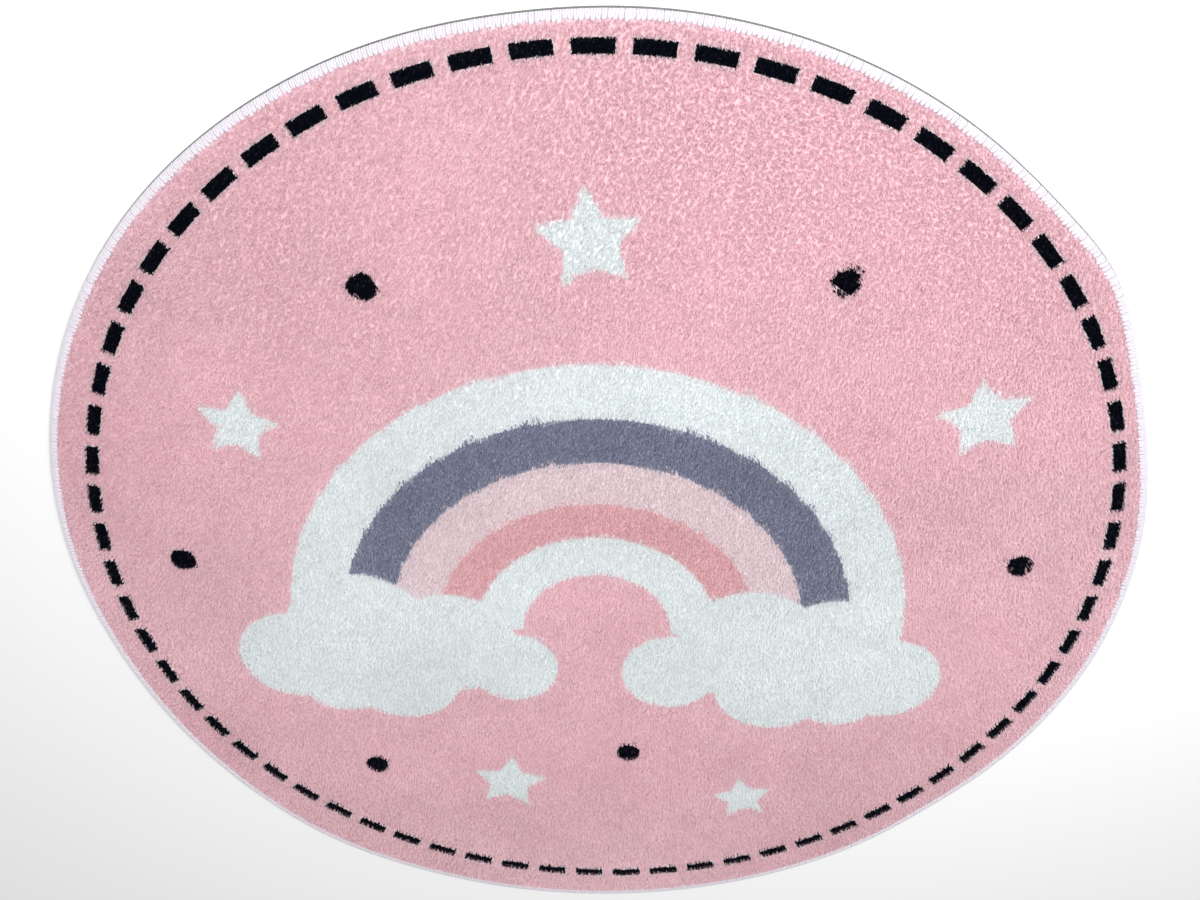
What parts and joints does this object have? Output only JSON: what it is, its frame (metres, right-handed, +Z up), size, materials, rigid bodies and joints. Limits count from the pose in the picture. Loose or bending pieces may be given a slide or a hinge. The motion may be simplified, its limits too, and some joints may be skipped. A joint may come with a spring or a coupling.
{
  "type": "round children's rug",
  "caption": "Round short-pile rug for a child's room, lying flat, its cut edge wrapped in overlock yarn.",
  "frame": {"origin": "on the floor under the middle of the rug's bounding box", "axes": "+Z up out of the pile; +Y towards the top of the rug's printed design, +X to the design's right"},
  "size_m": [1.3276, 1.3294, 0.012],
  "materials": {
    "pile": "matt cut pile",
    "edge_yarn": "soft yarn"
  },
  "bodies": {
    "root": {"carpet": "pile", "overlock_edge": "edge_yarn"}
  },
  "joints": []
}
